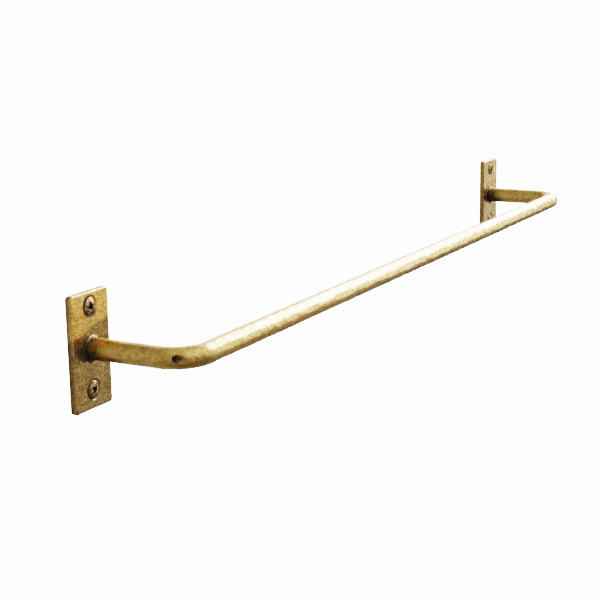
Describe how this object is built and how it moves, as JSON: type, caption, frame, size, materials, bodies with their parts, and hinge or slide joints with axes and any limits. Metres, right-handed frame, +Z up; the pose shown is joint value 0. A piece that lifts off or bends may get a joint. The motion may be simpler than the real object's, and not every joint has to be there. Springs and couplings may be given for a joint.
{
  "type": "towel rail",
  "caption": "Slim wall-mounted brass towel rail: a round bar bent back to the wall at both ends, brazed into small rectangular plates with raised countersunk screws.",
  "frame": {"origin": "on the wall plane, midway between the two arms and level with their axes, at the centre of the four screws", "axes": "+X along the rail to the right as seen from the room, +Y into the wall, +Z up"},
  "size_m": [0.4826, 0.0889, 0.0508],
  "materials": {
    "rail_brass": "sand-cast grain, hand polished and left unlacquered, darker on the underside",
    "plate_brass": "sand-cast grain with olive-brown patina and softly worn edges",
    "braze_metal": "dark flux-stained braze with a bright worn line",
    "screw_brass": "antiqued brass, dark in the recess",
    "plug_nylon": "moulded grey nylon"
  },
  "bodies": {
    "root": {"rail": "rail_brass", "left_wall_plate": "plate_brass", "right_wall_plate": "plate_brass", "left_braze_fillet": "braze_metal", "right_braze_fillet": "braze_metal", "left_upper_screw": "screw_brass", "left_lower_screw": "screw_brass", "right_upper_screw": "screw_brass", "right_lower_screw": "screw_brass", "left_upper_wall_plug": "plug_nylon", "left_lower_wall_plug": "plug_nylon", "right_upper_wall_plug": "plug_nylon", "right_lower_wall_plug": "plug_nylon"}
  },
  "joints": []
}
